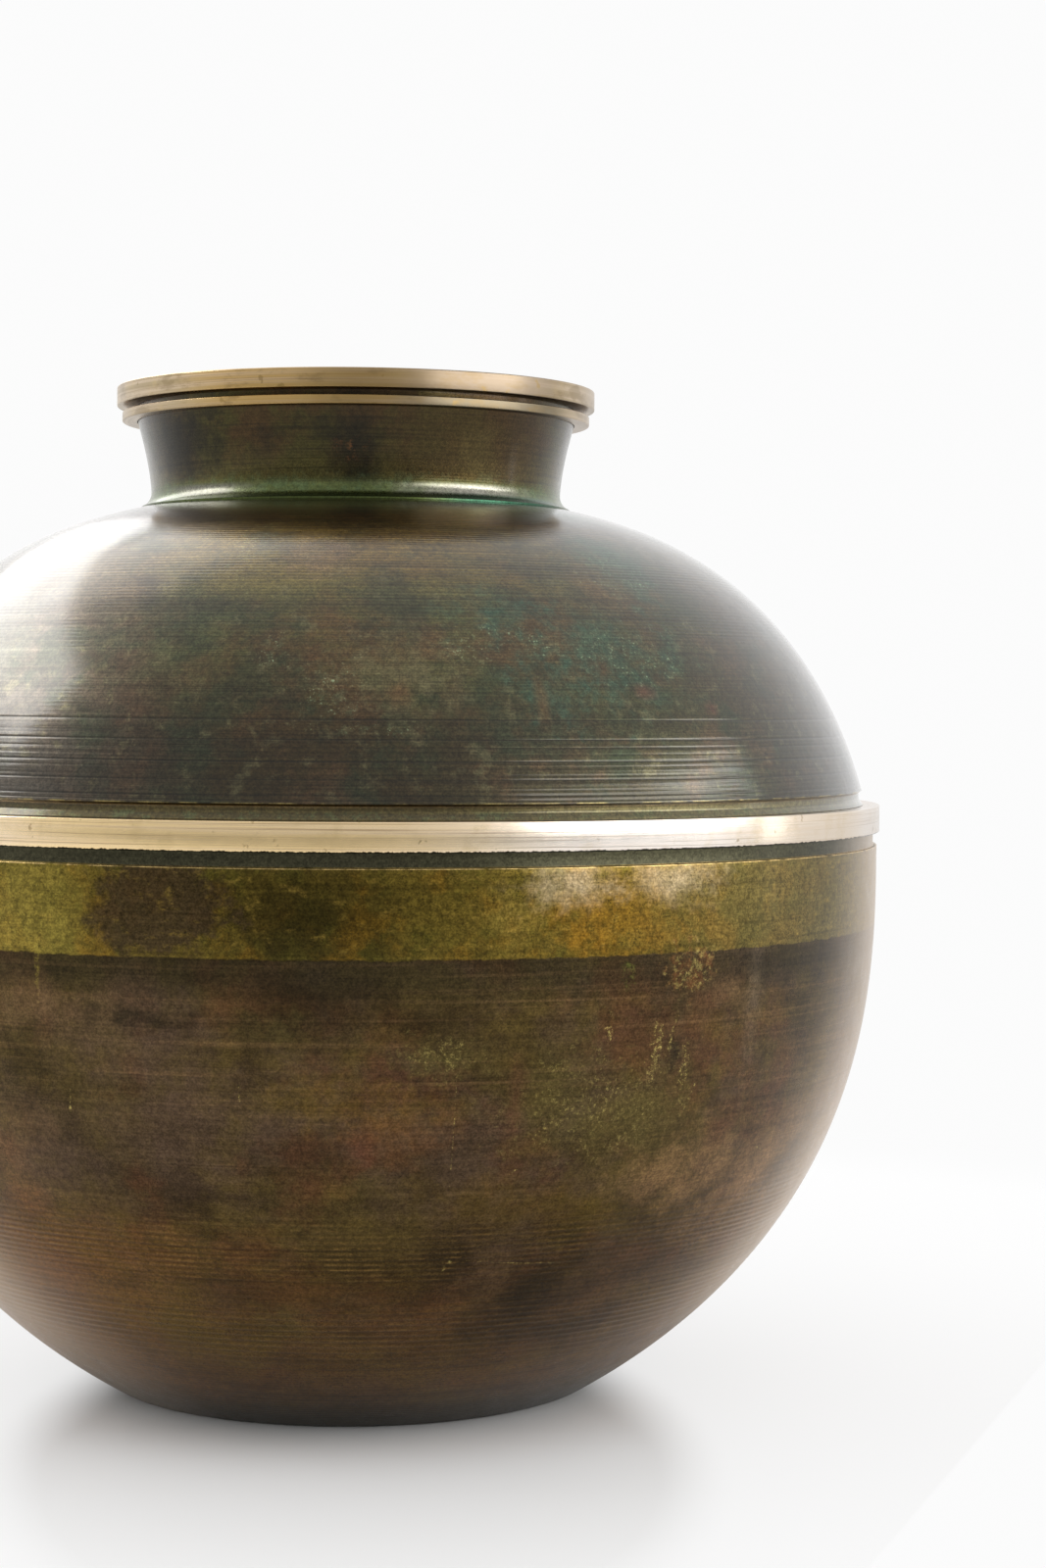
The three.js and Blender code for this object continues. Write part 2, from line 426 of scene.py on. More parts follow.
def neck():
    """The flared neck. Its foot runs out on to the dome a little further than the solid's does."""
    edge = THROAT_RADIUS + NECK_COVE_RADIUS * (1 - math.cos(NECK_COVE_SWEEP))
    seat = dome_height(edge) + GAP
    top = seat + NECK_FOOT_LAND + NECK_COVE_RADIUS * math.sin(NECK_COVE_SWEEP)
    rise = LIP_BOTTOM - top
    foot = THROAT_RADIUS + NECK_COVE_RADIUS * (1 - math.cos(NECK_FILLET_SWEEP))
    outside = [(foot, dome_height(foot) + NECK_JOINT)]
    for i in range(NECK_FILLET_STEPS + 1):
        turn = NECK_FILLET_SWEEP * (1 - i / NECK_FILLET_STEPS)
        outside.append((THROAT_RADIUS + NECK_COVE_RADIUS * (1 - math.cos(turn)),
                        top - NECK_COVE_RADIUS * math.sin(turn)))
    tube = [(THROAT_RADIUS, top)]
    for i in range(1, NECK_TUBE_STEPS + 1):
        share = i / NECK_TUBE_STEPS
        flare = (NECK_RIM_RADIUS - THROAT_RADIUS) * share ** NECK_FLARE_POWER
        ripple = NECK_RIPPLE * (math.sin(i * 1.9) - 1)
        tube.append((THROAT_RADIUS + flare + ripple, top + rise * share))
    tube.append((NECK_RIM_RADIUS, NECK_TOP))
    inner = THROAT_RADIUS - WALL
    inside = [(inner, dome_height(inner) + GAP)] + inside_of(tube)
    return lathe("neck", outside + tube[1:] + inside[::-1], True)


def lip_upper():
    """The upper ring caps the neck's cut edge, so its section is an L."""
    bore = NECK_RIM_RADIUS + GAP
    cap = LIP_TOP - UPPER_RING_CAP
    profile = filleted([
        (bore, LIP_SEAM, 0),
        (LIP_RADIUS, LIP_SEAM, RING_EDGE),
        (LIP_RADIUS, LIP_TOP, RING_EDGE),
        (MOUTH_RADIUS, LIP_TOP, 2 * RING_EDGE),
        (MOUTH_RADIUS, cap, 0),
        (bore, cap, 0),
    ])
    return lathe("lip_upper", profile, True)


# Materials

def tone(red, green, blue):
    """A colour from its 0 to 255 screen values."""
    linear = []
    for value in (red, green, blue):
        share = value / 255
        linear.append(share / 12.92 if share <= 0.04045 else ((share + 0.055) / 1.055) ** 2.4)
    return (*linear, 1)


def side_radius(height):
    """About the radius of the vase's outside at a height."""
    if height < LOWER_COVE_LEVEL:
        return belly_radius(height)
    if height < UPPER_COVE_LEVEL:
        return BAND_RADIUS
    if height < dome_height(THROAT_RADIUS):
        return DOME_RADIUS * dome_share(height)
    if height < LIP_BOTTOM:
        return THROAT_RADIUS
    return LIP_RADIUS


def connect(tree, socket, value):
    """Feeds a socket with a value or with another node's output."""
    if isinstance(value, bpy.types.NodeSocket):
        tree.links.new(value, socket)
    else:
        socket.default_value = value


def add_node(tree, kind, inputs=None, **settings):
    node = tree.nodes.new(kind)
    for name, value in settings.items():
        setattr(node, name, value)
    for name, value in (inputs or {}).items():
        connect(tree, node.inputs[name], value)
    return node


PATCH_DEPTH = 25 * MM


class Paint:
    """The nodes of one material, and the colour laid on so far. Sizes of marks are in mm."""

    def __init__(self, name, seed):
        self.material = bpy.data.materials.new(name)
        self.material.use_nodes = True
        self.tree = self.material.node_tree
        self.shader = self.tree.nodes["Principled BSDF"]
        self.shader.inputs["Metallic"].default_value = 1
        self.seed = seed
        self.colour = None
        self.place = self.node("ShaderNodeTexCoord").outputs["Object"]
        parts = self.node("ShaderNodeSeparateXYZ", {"Vector": self.place})
        self.x, self.y, self.height = parts.outputs
        self.way = self.node("ShaderNodeAttribute", attribute_name="way").outputs["Fac"]
        self.rise = self.node("ShaderNodeAttribute", attribute_name="rise").outputs["Fac"]
        self.coarse = self.noise(1 / (16 * MM), detail=9, roughness=0.68)
        self.medium = self.noise(1 / (5 * MM), detail=7, roughness=0.68)
        self.fine = self.noise(1 / (1.1 * MM), detail=5, roughness=0.7)
        self.specks = self.noise(1 / (0.42 * MM), detail=2)

    def node(self, kind, inputs=None, **settings):
        return add_node(self.tree, kind, inputs, **settings)

    def feed(self, name, value):
        """Feeds one of the shader's own inputs."""
        connect(self.tree, self.shader.inputs[name], value)

    def sum(self, operation, first, second=0.0, third=0.0, clamp=False):
        return self.node("ShaderNodeMath", {0: first, 1: second, 2: third}, operation=operation,
                         use_clamp=clamp).outputs[0]

    def vector(self, operation, first, second=(0, 0, 0), output="Vector"):
        return self.node("ShaderNodeVectorMath", {0: first, 1: second}, operation=operation).outputs[output]

    def step(self, value, low, high):
        """Rises smoothly from 0 at low to 1 at high."""
        return self.node("ShaderNodeMapRange", {"Value": value, "From Min": low, "From Max": high},
                         interpolation_type="SMOOTHSTEP").outputs["Result"]

    def ramp(self, start, end):
        """Rises smoothly from 0 at one height to 1 at another. The second may be the lower one."""
        return self.step(self.height, start * MM, end * MM)

    def between(self, value, low, high):
        """Spreads 0 to 1 over low to high."""
        return self.node("ShaderNodeMapRange",
                         {"Value": value, "To Min": low, "To Max": high}).outputs["Result"]

    def mix(self, factor, first, second):
        node = self.node("ShaderNodeMix", {0: factor, 6: first, 7: second}, data_type="RGBA")
        return node.outputs[2]

    def noise(self, scale, vector=None, detail=4, roughness=0.5):
        """Noise of its own place: each call moves on by one step."""
        self.seed += 1
        step = (0.173 * self.seed, 0.291 * self.seed, 0.117 * self.seed)
        shift = self.vector("ADD", vector or self.place, step)
        inputs = {"Vector": shift, "Scale": scale, "Detail": detail, "Roughness": roughness}
        return self.node("ShaderNodeTexNoise", inputs).outputs["Fac"]

    def streaks(self, length, width, detail=3, roughness=0.55):
        """Noise drawn out round the vase: length round it, width along its profile."""
        vector = self.node("ShaderNodeCombineXYZ", {
            "X": self.sum("MULTIPLY", self.x, 1 / (length * MM)),
            "Y": self.sum("MULTIPLY", self.y, 1 / (length * MM)),
            "Z": self.sum("MULTIPLY", self.way, 1 / (width * MM)),
        }).outputs[0]
        return self.noise(1.0, vector, detail, roughness)

    def facing(self, angle, narrow, wide):
        """1 on the side of the vase at an angle from the front, 0 past wide degrees from it."""
        way = math.radians(angle)
        unit = self.vector("NORMALIZE", self.vector("MULTIPLY", self.place, (1, 1, 0)))
        share = self.vector("DOT_PRODUCT", unit, (math.sin(way), -math.cos(way), 0), "Value")
        return self.step(share, math.cos(math.radians(wide)), math.cos(math.radians(narrow)))

    def patch(self, angle, height, wide, tall, ragged=1.1, soft=0.9, tilt=0.0, grain=None):
        """How far a mark covers: an ellipse on the vase's side with an uneven edge."""
        level = height * MM
        radius = side_radius(level)
        slope = math.atan2(side_radius(level - 0.5 * MM) - side_radius(level + 0.5 * MM), MM)
        way = math.radians(angle)
        middle = (radius * math.sin(way), -radius * math.cos(way), level)
        across = 0.5 * wide * MM
        along = 0.5 * tall * MM / math.cos(slope)
        local = self.node("ShaderNodeMapping", {
            "Vector": self.place, "Location": middle,
            "Rotation": (-slope, math.radians(tilt), way),
            "Scale": (across, PATCH_DEPTH, along),
        }, vector_type="TEXTURE").outputs[0]
        off = self.vector("LENGTH", local, output="Value")
        uneven = self.sum("MULTIPLY_ADD", self.sum("SUBTRACT", grain or self.medium, 0.5), 2 * ragged,
                          self.sum("SUBTRACT", 1.0, off))
        return self.step(uneven, 0.0, soft)

    def cloud(self, size, low, high, amount, drawn=1.0):
        """Clouds of a size, from 0 to amount, with grainy edges. They can be drawn out round the vase."""
        noise = self.streaks(drawn * size, size, detail=9, roughness=0.66)
        return self.sum("MULTIPLY", self.step(noise, low, high), amount)

    def flaked(self, cover, size, low=0.5, high=0.6):
        """Breaks a cover up into ragged flakes of about a size."""
        flakes = self.noise(1 / (size * MM), detail=8, roughness=0.8)
        return self.both(cover, self.step(flakes, low, high))

    def lay(self, cover, shade, amount=1.0):
        """Lays a tone, or a colour made by nodes, over part of the colour so far."""
        if amount != 1.0:
            cover = self.sum("MULTIPLY", cover, amount)
        self.colour = self.mix(cover, self.colour, shade)

    def lay_patches(self, patches, **edge):
        for angle, height, wide, tall, shade, amount in patches:
            self.lay(self.patch(angle, height, wide, tall, **edge), shade, amount)

    def both(self, first, second):
        return self.sum("MULTIPLY", first, second, clamp=True)

    def level(self, middle, half, soft):
        """1 within half of a height, fading over soft. All three are in metres."""
        off = self.sum("ABSOLUTE", self.sum("SUBTRACT", self.height, middle))
        return self.step(off, half + soft, half)

    def bump(self, height, depth, normal=None):
        inputs = {"Height": height, "Distance": depth, "Strength": 1.0}
        if normal:
            inputs["Normal"] = normal
        return self.node("ShaderNodeBump", inputs).outputs["Normal"]

    def coat(self, normal, weight, roughness, ior):
        """A thin clear layer of wax or lacquer over the metal."""
        self.shader.inputs["Coat Weight"].default_value = weight
        self.shader.inputs["Coat Roughness"].default_value = roughness
        self.shader.inputs["Coat IOR"].default_value = ior
        self.feed("Coat Normal", normal)

    def finish(self, roughness, normal):
        self.feed("Base Color", self.colour)
        self.feed("Roughness", roughness)
        self.feed("Normal", normal)
        return self.material


# Tones shared by several pieces
SOOT = tone(34, 30, 20)
DEEP_BROWN = tone(46, 36, 24)
RED_BROWN = tone(96, 56, 44)
RUST = tone(112, 74, 42)
VERDIGRIS = tone(92, 116, 84)
WORN_GOLD = tone(196, 168, 108)
NECK_TEAL = tone(36, 84, 64)

# Tones of the dome and its cove
DOME_BROWN = tone(88, 66, 38)
DOME_OLIVE = tone(78, 78, 42)
DOME_GREY = tone(60, 62, 44)
DOME_LOW = tone(46, 40, 22)
DOME_LIGHT = tone(112, 106, 74)
DOME_RED = tone(96, 68, 46)
DOME_TAN = tone(136, 108, 84)
SHOULDER_TAN = tone(140, 114, 52)
LEFT_GREY = tone(78, 74, 68)
DARK_GREEN = tone(42, 54, 36)
PALE_GREEN = tone(140, 160, 126)
TEAL = tone(48, 84, 68)
NECK_SHADE = tone(54, 38, 8)
UPPER_COVE_OLIVE = tone(80, 70, 38)
UPPER_COVE_TAN = tone(98, 90, 58)
UPPER_COVE_GREEN = tone(88, 100, 64)
UPPER_COVE_RUST = tone(84, 66, 38)
WORN_OLIVE = tone(150, 134, 78)

# Tones of the bowl
BOWL_BROWN = tone(80, 63, 47)
BOWL_OLIVE = tone(82, 68, 34)
BOWL_RED = tone(92, 56, 36)
BOWL_DARK = tone(42, 31, 14)
BOWL_WARM = tone(126, 86, 26)
BOWL_SHADE = tone(40, 36, 22)
BOWL_PURPLE = tone(86, 68, 53)
BOWL_MOSS = tone(92, 82, 44)
BOWL_OCHRE = tone(104, 82, 26)
BOWL_TAN = tone(150, 116, 78)
BOWL_GOLD = tone(116, 96, 42)
BOWL_GREEN = tone(96, 98, 44)
BOWL_CREST = tone(142, 110, 58)
GOLD_FLAKE = tone(178, 160, 92)
LOWER_COVE_GREY = tone(64, 62, 46)
FOOT_PATINA_AND_SHADE = tone(34, 33, 12)
PAINTED_SHEEN = tone(214, 190, 164)

# Tones of the olive zone under the band
ZONE_GOLD = tone(104, 88, 34)
ZONE_GREEN = tone(70, 74, 26)
ZONE_ORANGE = tone(140, 98, 26)
ZONE_DARK = tone(46, 38, 14)
ZONE_TAN = tone(106, 94, 54)
ZONE_LIGHT = tone(150, 124, 56)
ZONE_YELLOW = tone(162, 144, 64)
ZONE_PAINTED_HIGHLIGHT = tone(178, 160, 126)
ZONE_PURPLE = tone(66, 52, 36)

# Tones of the neck
NECK_BROWN = tone(64, 48, 26)
NECK_OLIVE = tone(60, 58, 26)
NECK_LIGHT = tone(96, 88, 50)
NECK_PATINA_AND_SHADE = tone(62, 72, 30)
NECK_FOOT_GREEN = tone(92, 106, 62)
NECK_PALE_HIGHLIGHT = tone(148, 144, 134)
NECK_GREY_HIGHLIGHT = tone(110, 108, 98)

# Tones of the band and the lip
GOLDEN_BRASS = tone(252, 222, 166)
PALE_BRASS = tone(246, 238, 230)
PINK_BRASS = tone(236, 214, 192)
WARM_BRASS = tone(206, 180, 124)
BRASS_LINE = tone(140, 114, 80)
BRASS_SPOT = tone(132, 108, 60)
BRASS_FAR = tone(176, 158, 138)
BAND_PAINTED_SHADE = tone(204, 184, 156)
LIP_FRONT = tone(194, 160, 100)
LIP_SIDE = tone(172, 154, 122)
LIP_DULL = tone(118, 98, 64)
LIP_LOW = tone(102, 94, 76)
LIP_ROSE = tone(120, 107, 92)

# Blooms: angle from the front in degrees, height, width and rise in mm
DOME_BLOOMS = ((12.8, 174.2, 14, 8), (19.7, 177.1, 8, 5), (21.5, 174.5, 9, 5), (-15.1, 196.1, 8, 14),
               (33, 173, 30, 12), (38, 190, 24, 9), (-2, 165, 12, 14), (-9, 172, 5, 9), (2, 157, 18, 3))

# Scratches: as above, then a tilt in degrees
BOWL_SCRATCHES = ((25.2, 94.2, 2, 5, 0), (30.8, 90, 3.2, 14, 3), (34.5, 86, 3, 13, -4),
                  (27.5, 84, 0.5, 9, 48), (49.9, 65, 5, 0.8, 30), (10.7, 45.5, 0.7, 5, 35),
                  (9.8, 77, 0.22, 34, 0), (20.4, 44.5, 31, 0.35, 6), (32.4, 92, 1, 12, 14),
                  (36, 80, 0.6, 7, 20), (-29, 79, 0.5, 6, 10), (-11, 84, 0.5, 5, 0), (16.5, 66, 0.5, 4, 60))

# Patches: angle, height, width and rise as above, then the tone and how much of it
NEAR_NECK_PATCHES = ((-4.9, 192.8, 24, 12, DOME_TAN, 0.4), (40.9, 193.4, 34, 22, TEAL, 0.65),
                     (33.6, 186.4, 22, 13, RUST, 0.35))
TEAL_PATCHES = ((29, 174, 62, 34, TEAL, 0.62), (17, 182, 34, 14, TEAL, 0.6))
LOW_DOME_PATCHES = ((19.9, 163.6, 4, 16, RUST, 0.3), (4.6, 164.5, 9, 7, RUST, 0.4),
                    (32.7, 165, 9, 4.5, RED_BROWN, 0.5), (42.1, 161.1, 6, 4.5, RED_BROWN, 0.5))
# Two painted highlights near the top of the olive zone, standing in for the right lamps' reflection
ZONE_HIGHLIGHTS = ((20.5, 125.5, 34, 15, ZONE_PAINTED_HIGHLIGHT, 0.9), (32.5, 125.5, 36, 15, ZONE_PAINTED_HIGHLIGHT, 0.9))
NECK_PATCHES = ((0, 220, 16, 30, SOOT, 0.95), (-54, 221, 38, 30, SOOT, 0.95),
                (20, 222, 20, 22, NECK_OLIVE, 0.8), (45, 221, 9, 30, SOOT, 0.6),
                (33, 219, 12, 20, NECK_LIGHT, 0.5))
BOWL_PATCHES = (
    (-26, 97, 66, 34, BOWL_PURPLE, 0.6), (-24, 74, 76, 34, BOWL_PURPLE, 0.4),
    (-2, 102, 84, 26, BOWL_DARK, 0.8), (-22, 98.5, 40, 11, SOOT, 0.8),
    (10, 97, 60, 20, BOWL_DARK, 0.6), (36, 104, 70, 16, BOWL_SHADE, 0.7),
    (8, 90, 30, 12, BOWL_MOSS, 0.6), (-1, 81, 50, 18, BOWL_OCHRE, 0.45),
    (4, 73, 34, 17, RUST, 0.45), (0.7, 71, 9, 12, RED_BROWN, 0.4),
    (15.8, 81.6, 6, 24, RED_BROWN, 0.35), (25, 77, 56, 34, BOWL_MOSS, 0.45),
    (20, 57, 70, 22, BOWL_OCHRE, 0.5), (22, 40, 60, 26, BOWL_DARK, 0.9),
    (26, 27, 64, 26, BOWL_DARK, 0.7), (48, 60, 54, 40, BOWL_TAN, 0.7),
    (12, 46, 50, 24, BOWL_DARK, 0.7), (35, 63, 40, 20, BOWL_TAN, 0.5),
    (21, 53, 50, 14, BOWL_DARK, 0.5), (39, 103, 26, 18, BOWL_TAN, 0.35),
    (-7, 96, 22, 12, BOWL_MOSS, 0.4), (-16, 97, 16, 12, BOWL_DARK, 0.5),
    (32, 27, 34, 14, BOWL_DARK, 0.5), (-32, 102, 50, 26, BOWL_TAN, 0.3),
    (-38, 67, 34, 34, BOWL_TAN, 0.3), (-12, 40, 60, 26, BOWL_DARK, 0.4),
    (33, 88.9, 5, 14, SOOT, 0.7), (-23.3, 28, 64, 28, BOWL_OCHRE, 0.8),
    (-8, 31, 26, 16, BOWL_MOSS, 0.5), (-41.8, 41.1, 54, 54, RUST, 0.8),
    (-22, 47, 60, 18, RUST, 0.4),
)
# Taller patches have a coarser edge
COARSE_PATCH = 20


def patina_surface(paint, roughness, grain_depth, line_depth):
    """Roughness and bump shared by the patinated pieces: turned lines, grain and small pits."""
    lines = paint.streaks(70, 0.45, detail=7, roughness=0.72)
    rough = paint.sum("MULTIPLY_ADD", paint.sum("SUBTRACT", paint.medium, 0.5), 0.25, roughness)
    rough = paint.sum("MULTIPLY_ADD", paint.sum("SUBTRACT", paint.specks, 0.5), 0.2, rough)
    normal = paint.bump(lines, line_depth * MM)
    normal = paint.bump(paint.fine, grain_depth * MM, normal)
    normal = paint.bump(paint.specks, 0.4 * grain_depth * MM, normal)
    return rough, normal, lines


def grain_over(paint, lines, grain, turned):
    """Darkens and lightens the colour so far by grain of two sizes and by the turned lines."""
    light = paint.between(paint.step(paint.fine, 0.34, 0.66), 1 - grain, 1 + grain)
    for noise, change in ((paint.specks, grain), (lines, turned)):
        share = paint.between(paint.step(noise, 0.3, 0.7), 1 - change, 1 + change)
        light = paint.sum("MULTIPLY", light, share)
    paint.colour = paint.node("ShaderNodeVectorMath", {0: paint.colour, "Scale": light},
                              operation="SCALE").outputs[0]


def dome_paint():
    paint = Paint("green_patina", seed=3)
    rough, normal, lines = patina_surface(paint, 0.34, grain_depth=0.006, line_depth=0.02)
    paint.colour = paint.mix(paint.cloud(40, 0.42, 0.6, 1.0), DOME_BROWN, DOME_OLIVE)
    paint.lay(paint.ramp(176, 150), DOME_LOW, 0.85)
    # Lighter towards the top of the shoulder: partly the patina's own tone, partly painted brightening for
    # the bright surroundings mirrored there
    paint.lay(paint.ramp(180, 196), SHOULDER_TAN, 0.7)
    paint.lay(paint.facing(52, 10, 55), DOME_GREY, 0.4)
    paint.lay(paint.facing(-70, 20, 60), LEFT_GREY, 0.7)
    paint.lay(paint.facing(80, 10, 55), DEEP_BROWN, 0.55)
    paint.lay(paint.patch(-22, 156, 44, 30, ragged=1.4, soft=1.4), DEEP_BROWN, 0.6)
    paint.lay(paint.cloud(18, 0.46, 0.62, 0.6), DARK_GREEN)
    paint.lay(paint.both(paint.cloud(14, 0.5, 0.66, 0.35), paint.facing(20, 20, 70)), DOME_RED)
    paint.lay(paint.cloud(7, 0.5, 0.64, 0.35), DEEP_BROWN)
    paint.lay(paint.cloud(5, 0.54, 0.66, 0.35), DOME_LIGHT)
    paint.lay(paint.patch(4, 168, 40, 22, ragged=1.5), DOME_LIGHT, 0.4)
    paint.lay(paint.step(paint.streaks(90, 1.6), 0.45, 0.75), DEEP_BROWN, 0.35)
    paint.lay(paint.step(paint.streaks(70, 0.5), 0.52, 0.72), DEEP_BROWN, 0.4)
    # Placed patches and blooms
    paint.lay_patches(NEAR_NECK_PATCHES)
    paint.lay_patches(TEAL_PATCHES, ragged=1.6, soft=1.4)
    paint.lay(paint.patch(22.5, 165.4, 22, 18, ragged=1.6), TEAL, 0.3)
    paint.lay_patches(LOW_DOME_PATCHES)
    # A dark diagonal streak on the left shoulder: the painted reflection of a dark frame beside the left
    # softbox
    paint.lay(paint.patch(-27.4, 186.7, 7, 20, tilt=-35), DEEP_BROWN, 0.6)
    for angle, height, wide, tall in DOME_BLOOMS:
        bloom = paint.patch(angle, height, 1.5 * wide, 1.5 * tall, ragged=1.6)
        paint.lay(paint.flaked(bloom, 2), VERDIGRIS, 0.22)
        grainy = paint.both(bloom, paint.step(paint.fine, 0.52, 0.62))
        paint.lay(paint.both(grainy, paint.step(paint.specks, 0.564, 0.664)), PALE_GREEN, 0.6)
    # Turned lines on the shoulder, and one scratch
    turned = paint.both(paint.step(paint.streaks(110, 2), 0.48, 0.66), paint.ramp(174, 184))
    paint.lay(turned, DEEP_BROWN, 0.35)
    trough = paint.both(paint.step(paint.rise, -0.012 * MM, -0.024 * MM), paint.ramp(174, 184))
    paint.lay(trough, DEEP_BROWN, 0.4)
    paint.lay(paint.patch(-10.9, 202.9, 11, 0.5, ragged=0.5, tilt=8, grain=paint.fine), WORN_GOLD, 0.8)
    # The dark shade round the neck's foot, with green in the corner
    at_neck = paint.ramp(199, 204)
    paint.lay(at_neck, NECK_SHADE, 0.9)
    paint.lay(paint.both(paint.step(paint.streaks(80, 0.7), 0.5, 0.6), at_neck), RUST, 0.4)
    paint.lay(paint.both(paint.ramp(201.5, 206), paint.facing(40, 6, 26)), NECK_TEAL, 0.75)
    # Dark grooves, the worn edge above the cove, and green in the corner on the band
    paint.lay(paint.step(paint.rise, -0.02 * MM, -0.055 * MM), SOOT, 0.7)
    in_cove = paint.step(paint.height, UPPER_COVE_LEVEL - 0.1 * MM, UPPER_COVE_LEVEL - 0.4 * MM)
    cove = paint.mix(paint.facing(50, 5, 45), UPPER_COVE_OLIVE, UPPER_COVE_TAN)
    cove = paint.mix(paint.sum("MULTIPLY", paint.facing(-50, 5, 35), 0.4), cove, SOOT)
    paint.lay(in_cove, cove)
    broken = paint.step(paint.streaks(5, 8), 0.42, 0.62)
    paint.lay(paint.both(paint.level(UPPER_COVE_LEVEL, 0.1 * MM, 0.16 * MM), broken), WORN_OLIVE, 0.75)
    paint.lay(paint.level(UPPER_COVE_LEVEL - 0.5 * MM, 0.2 * MM, 0.3 * MM), UPPER_COVE_RUST, 0.5)
    corner = paint.level(BAND_TOP + 0.9 * MM, 0.4 * MM, 0.8 * MM)
    paint.lay(paint.flaked(corner, 3), UPPER_COVE_GREEN, 0.5)
    grain_over(paint, lines, grain=0.26, turned=0.32)
    paint.coat(normal, weight=1.0, roughness=0.11, ior=1.4)
    return paint.finish(rough, normal)


def lay_olive_zone(paint):
    """The mottled olive zone under the band, laid over the bowl's brown with an uneven lower line."""
    brown = paint.colour
    waver = paint.sum("MULTIPLY", paint.sum("SUBTRACT", paint.medium, 0.5), 1.5 * MM)
    in_zone = paint.step(paint.sum("ADD", paint.height, waver), 110.4 * MM, 110.8 * MM)
    paint.colour = paint.mix(paint.cloud(13, 0.45, 0.62, 0.45), ZONE_GOLD, ZONE_GREEN)
    paint.lay(paint.cloud(12, 0.48, 0.64, 0.45), ZONE_ORANGE)
    paint.lay(paint.patch(-5, 119, 56, 36, ragged=0.8), ZONE_DARK, 0.8)
    paint.lay(paint.patch(26, 119, 46, 36, ragged=1.2), ZONE_ORANGE, 0.5)
    paint.lay(paint.facing(64, 8, 40), ZONE_TAN, 0.7)
    paint.lay(paint.patch(-32, 119, 44, 46, ragged=0.4), ZONE_YELLOW, 0.55)
    paint.lay(paint.patch(14.5, 121, 18, 20, ragged=0.9), ZONE_LIGHT, 0.45)
    paint.lay(paint.patch(-18.6, 121, 36, 28, ragged=0.8, soft=0.4), ZONE_PURPLE, 0.85)
    web = paint.noise(1 / (7 * MM), detail=8, roughness=0.72)
    veins = paint.step(paint.sum("ABSOLUTE", paint.sum("SUBTRACT", web, 0.5)), 0.045, 0.0)
    paint.lay(veins, ZONE_DARK, 0.3)
    paint.lay(paint.cloud(1.6, 0.5, 0.66, 0.45), ZONE_DARK)
    paint.lay(paint.cloud(2, 0.54, 0.7, 0.4, 2), ZONE_LIGHT)
    paint.lay(paint.step(paint.streaks(60, 1.4), 0.54, 0.74), ZONE_DARK, 0.3)
    # Painted highlights near the top of the zone
    paint.lay_patches(ZONE_HIGHLIGHTS, ragged=1.0, soft=1.5)
    paint.colour = paint.mix(in_zone, brown, paint.colour)


